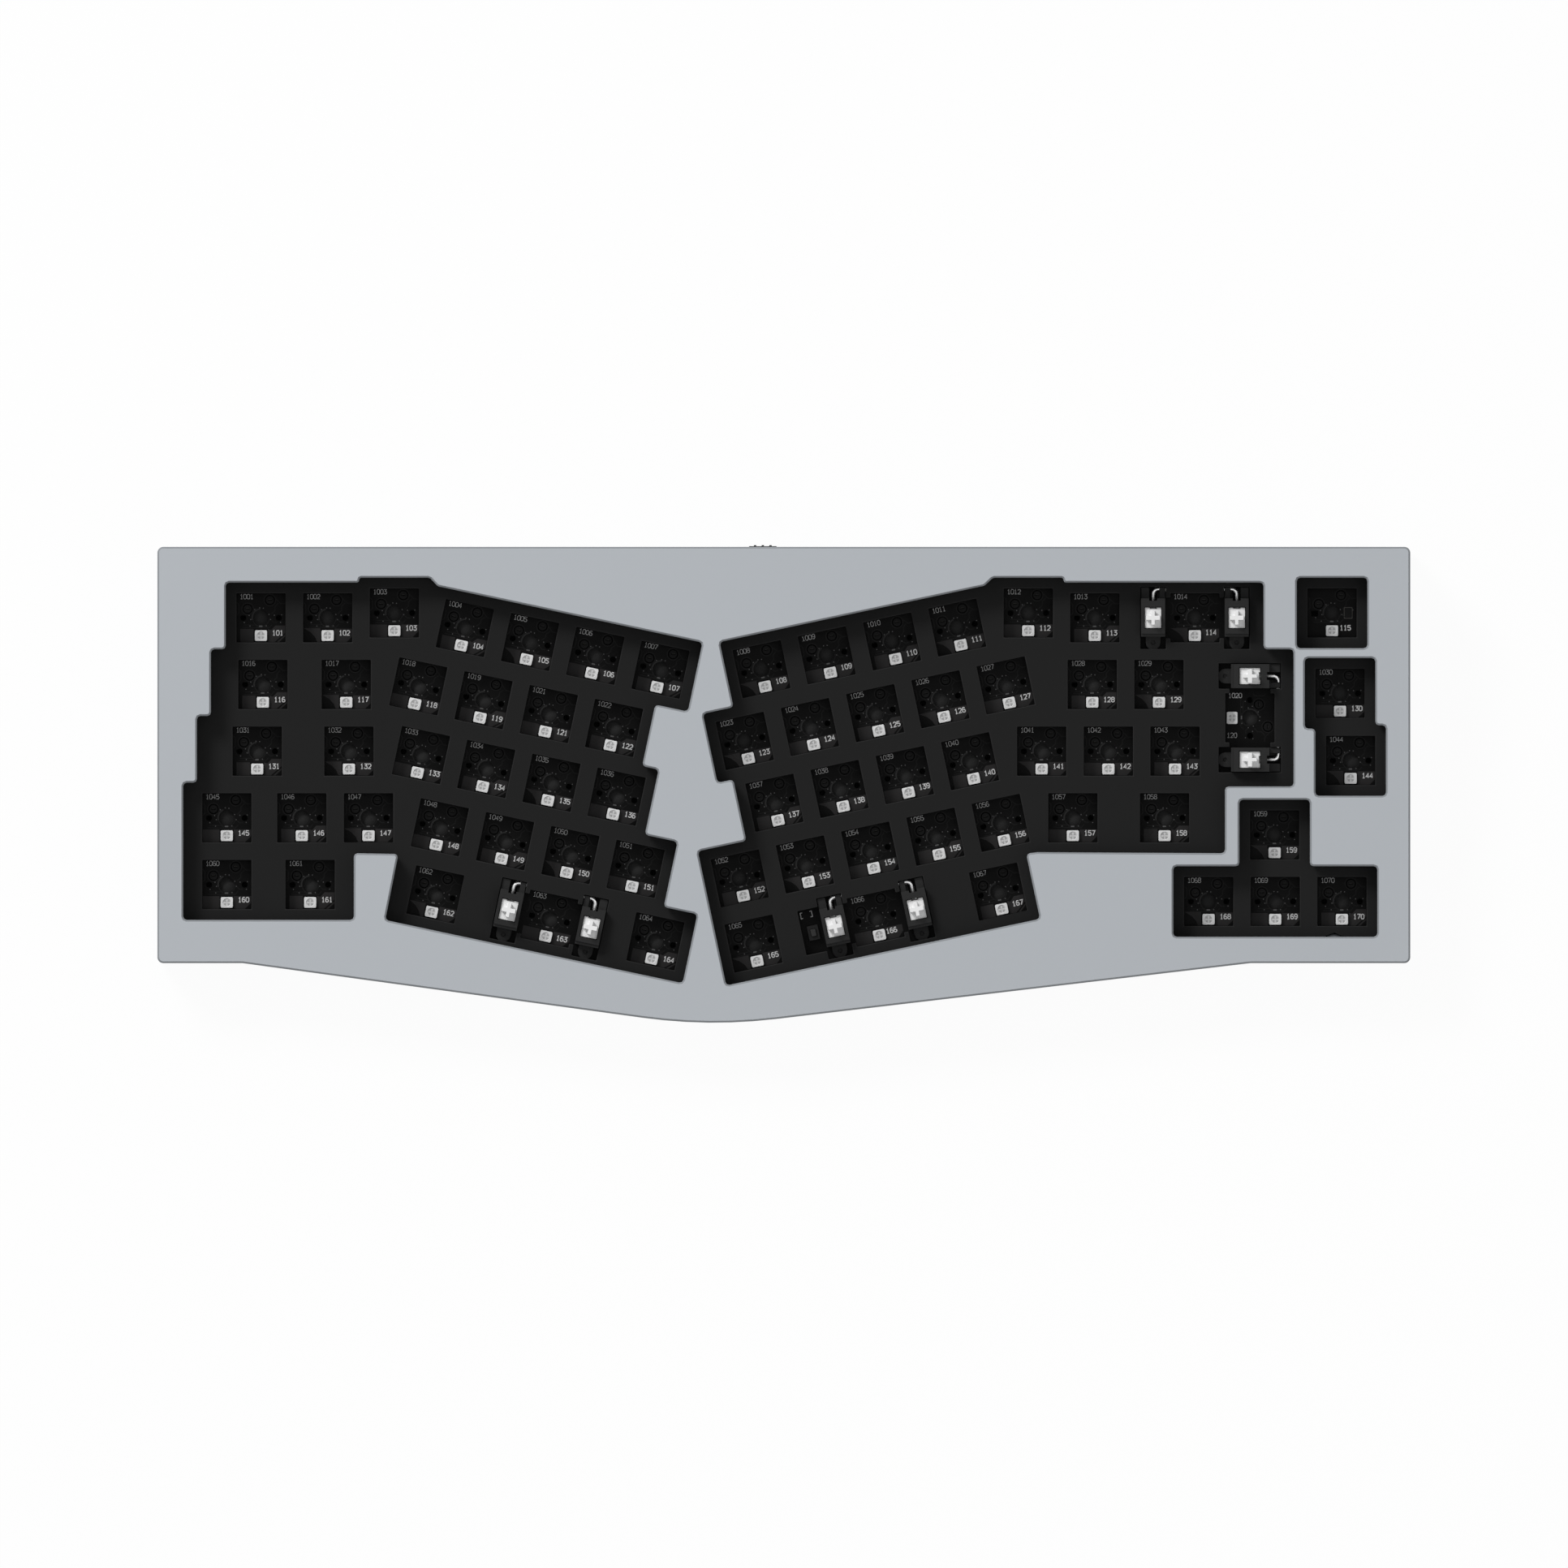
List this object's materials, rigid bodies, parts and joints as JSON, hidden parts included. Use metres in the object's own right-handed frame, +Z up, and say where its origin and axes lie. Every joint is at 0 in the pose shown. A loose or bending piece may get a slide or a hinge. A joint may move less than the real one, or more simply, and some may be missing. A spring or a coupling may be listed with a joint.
{
  "type": "angled ergonomic keyboard",
  "caption": "Low wedge keyboard body with two angled key fields, open switch windows, lamps on the board, wide-key stabilisers, rear slider and rubber feet; bare, without switches or key caps.",
  "frame": {"origin": "middle of the footprint, on the desk under the rubber feet", "axes": "+X to the user's right along the wide side, +Y away from the user to the back edge, +Z up"},
  "size_m": [0.3578, 0.1382, 0.034],
  "materials": {
    "case": "fine sprayed satin over metal, cool light grey",
    "plate": "matt black coat, thin bare edge at the windows",
    "board": "matt black solder resist with white plain numbers",
    "foam": "soft open foam",
    "gasket": "soft strip",
    "lamp": "white lamp body",
    "socket": "black moulded",
    "chip": "black moulded",
    "screw": "zinc grey",
    "spacer": "turned",
    "housing": "black moulded, fine grain",
    "stem": "white moulded",
    "wire": "bright drawn",
    "inlet_shell": "stamped",
    "inlet_tongue": "black moulded with bare contacts",
    "switch_body": "black moulded",
    "knob": "black moulded, ribbed",
    "reset_button": "grey moulded",
    "foot": "soft black"
  },
  "bodies": {
    "case": {"back_left_foot": "foot", "back_right_foot": "foot", "backspace_left_housing": "housing", "backspace_right_housing": "housing", "bottom_case": "case", "case_foam": "foam", "case_screws": "screw", "controller_chip": "chip", "enter_left_housing": "housing", "enter_right_housing": "housing", "front_left_foot": "foot", "front_right_foot": "foot", "hot_swap_sockets": "socket", "led_driver_chips": "chip", "leds": "lamp", "left_space_left_housing": "housing", "left_space_right_housing": "housing", "lower_gaskets": "gasket", "mode_switch_body": "switch_body", "pcb": "board", "plate_foam": "foam", "plate_screws": "screw", "plate_spacers": "spacer", "reset_switch_body": "switch_body", "right_space_left_housing": "housing", "right_space_right_housing": "housing", "stabiliser_screws": "screw", "switch_plate": "plate", "top_case": "case", "upper_gaskets": "gasket", "usb_shell": "inlet_shell", "usb_tongue": "inlet_tongue"},
    "left_space_left_stem": {"left_space_left_stem": "stem"},
    "left_space_right_stem": {"left_space_right_stem": "stem"},
    "left_space_wire": {"left_space_wire": "wire"},
    "right_space_left_stem": {"right_space_left_stem": "stem"},
    "right_space_right_stem": {"right_space_right_stem": "stem"},
    "right_space_wire": {"right_space_wire": "wire"},
    "backspace_left_stem": {"backspace_left_stem": "stem"},
    "backspace_right_stem": {"backspace_right_stem": "stem"},
    "backspace_wire": {"backspace_wire": "wire"},
    "enter_left_stem": {"enter_left_stem": "stem"},
    "enter_right_stem": {"enter_right_stem": "stem"},
    "enter_wire": {"enter_wire": "wire"},
    "mode_switch_knob": {"mode_switch_knob": "knob"},
    "reset_button": {"reset_button": "reset_button"}
  },
  "joints": [
    {"name": "left_space_left_stem_lift", "type": "slide", "parent": "case", "child": "left_space_left_stem", "axis": [0, -0.0906, 0.9959], "range_m": [0, 0.0038]},
    {"name": "left_space_right_stem_lift", "type": "slide", "parent": "case", "child": "left_space_right_stem", "axis": [0, -0.0906, 0.9959], "range_m": [0, 0.0038]},
    {"name": "left_space_wire_turn", "type": "hinge", "parent": "case", "child": "left_space_wire", "pos_m": [-0.06523, -0.03063, 0.01466], "axis": [-0.9781, 0.2071, 0.0188], "range_deg": [0, 27.1]},
    {"name": "right_space_left_stem_lift", "type": "slide", "parent": "case", "child": "right_space_left_stem", "axis": [0, -0.0906, 0.9959], "range_m": [0, 0.0038]},
    {"name": "right_space_right_stem_lift", "type": "slide", "parent": "case", "child": "right_space_right_stem", "axis": [0, -0.0906, 0.9959], "range_m": [0, 0.0038]},
    {"name": "right_space_wire_turn", "type": "hinge", "parent": "case", "child": "right_space_wire", "pos_m": [0.02456, -0.03029, 0.01469], "axis": [-0.9781, -0.2071, -0.0188], "range_deg": [0, 27.1]},
    {"name": "backspace_left_stem_lift", "type": "slide", "parent": "case", "child": "backspace_left_stem", "axis": [0, -0.0906, 0.9959], "range_m": [0, 0.0038]},
    {"name": "backspace_right_stem_lift", "type": "slide", "parent": "case", "child": "backspace_right_stem", "axis": [0, -0.0906, 0.9959], "range_m": [0, 0.0038]},
    {"name": "backspace_wire_turn", "type": "hinge", "parent": "case", "child": "backspace_wire", "pos_m": [0.1174, 0.05517, 0.02247], "axis": [-1, 0, 0], "range_deg": [0, 27.1]},
    {"name": "enter_left_stem_lift", "type": "slide", "parent": "case", "child": "enter_left_stem", "axis": [0, -0.0906, 0.9959], "range_m": [0, 0.0038]},
    {"name": "enter_right_stem_lift", "type": "slide", "parent": "case", "child": "enter_right_stem", "axis": [0, -0.0906, 0.9959], "range_m": [0, 0.0038]},
    {"name": "enter_wire_turn", "type": "hinge", "parent": "case", "child": "enter_wire", "pos_m": [0.14132, 0.01854, 0.01914], "axis": [0, 0.9959, 0.0906], "range_deg": [0, 27.1]},
    {"name": "mode_slide", "type": "slide", "parent": "case", "child": "mode_switch_knob", "axis": [1, 0, 0], "range_m": [0, 0.002]},
    {"name": "reset_press", "type": "slide", "parent": "case", "child": "reset_button", "axis": [0, 0.0906, -0.9959], "range_m": [0, 0.00025], "stiffness_N_per_m": 600}
  ],
  "couplings": [
    {"joint": "left_space_right_stem_lift", "follows": "left_space_left_stem_lift", "ratio": 1},
    {"joint": "left_space_wire_turn", "follows": "left_space_left_stem_lift", "rad_per_m": 124.3},
    {"joint": "right_space_right_stem_lift", "follows": "right_space_left_stem_lift", "ratio": 1},
    {"joint": "right_space_wire_turn", "follows": "right_space_left_stem_lift", "rad_per_m": 124.3},
    {"joint": "backspace_right_stem_lift", "follows": "backspace_left_stem_lift", "ratio": 1},
    {"joint": "backspace_wire_turn", "follows": "backspace_left_stem_lift", "rad_per_m": 124.3},
    {"joint": "enter_right_stem_lift", "follows": "enter_left_stem_lift", "ratio": 1},
    {"joint": "enter_wire_turn", "follows": "enter_left_stem_lift", "rad_per_m": 124.3}
  ]
}
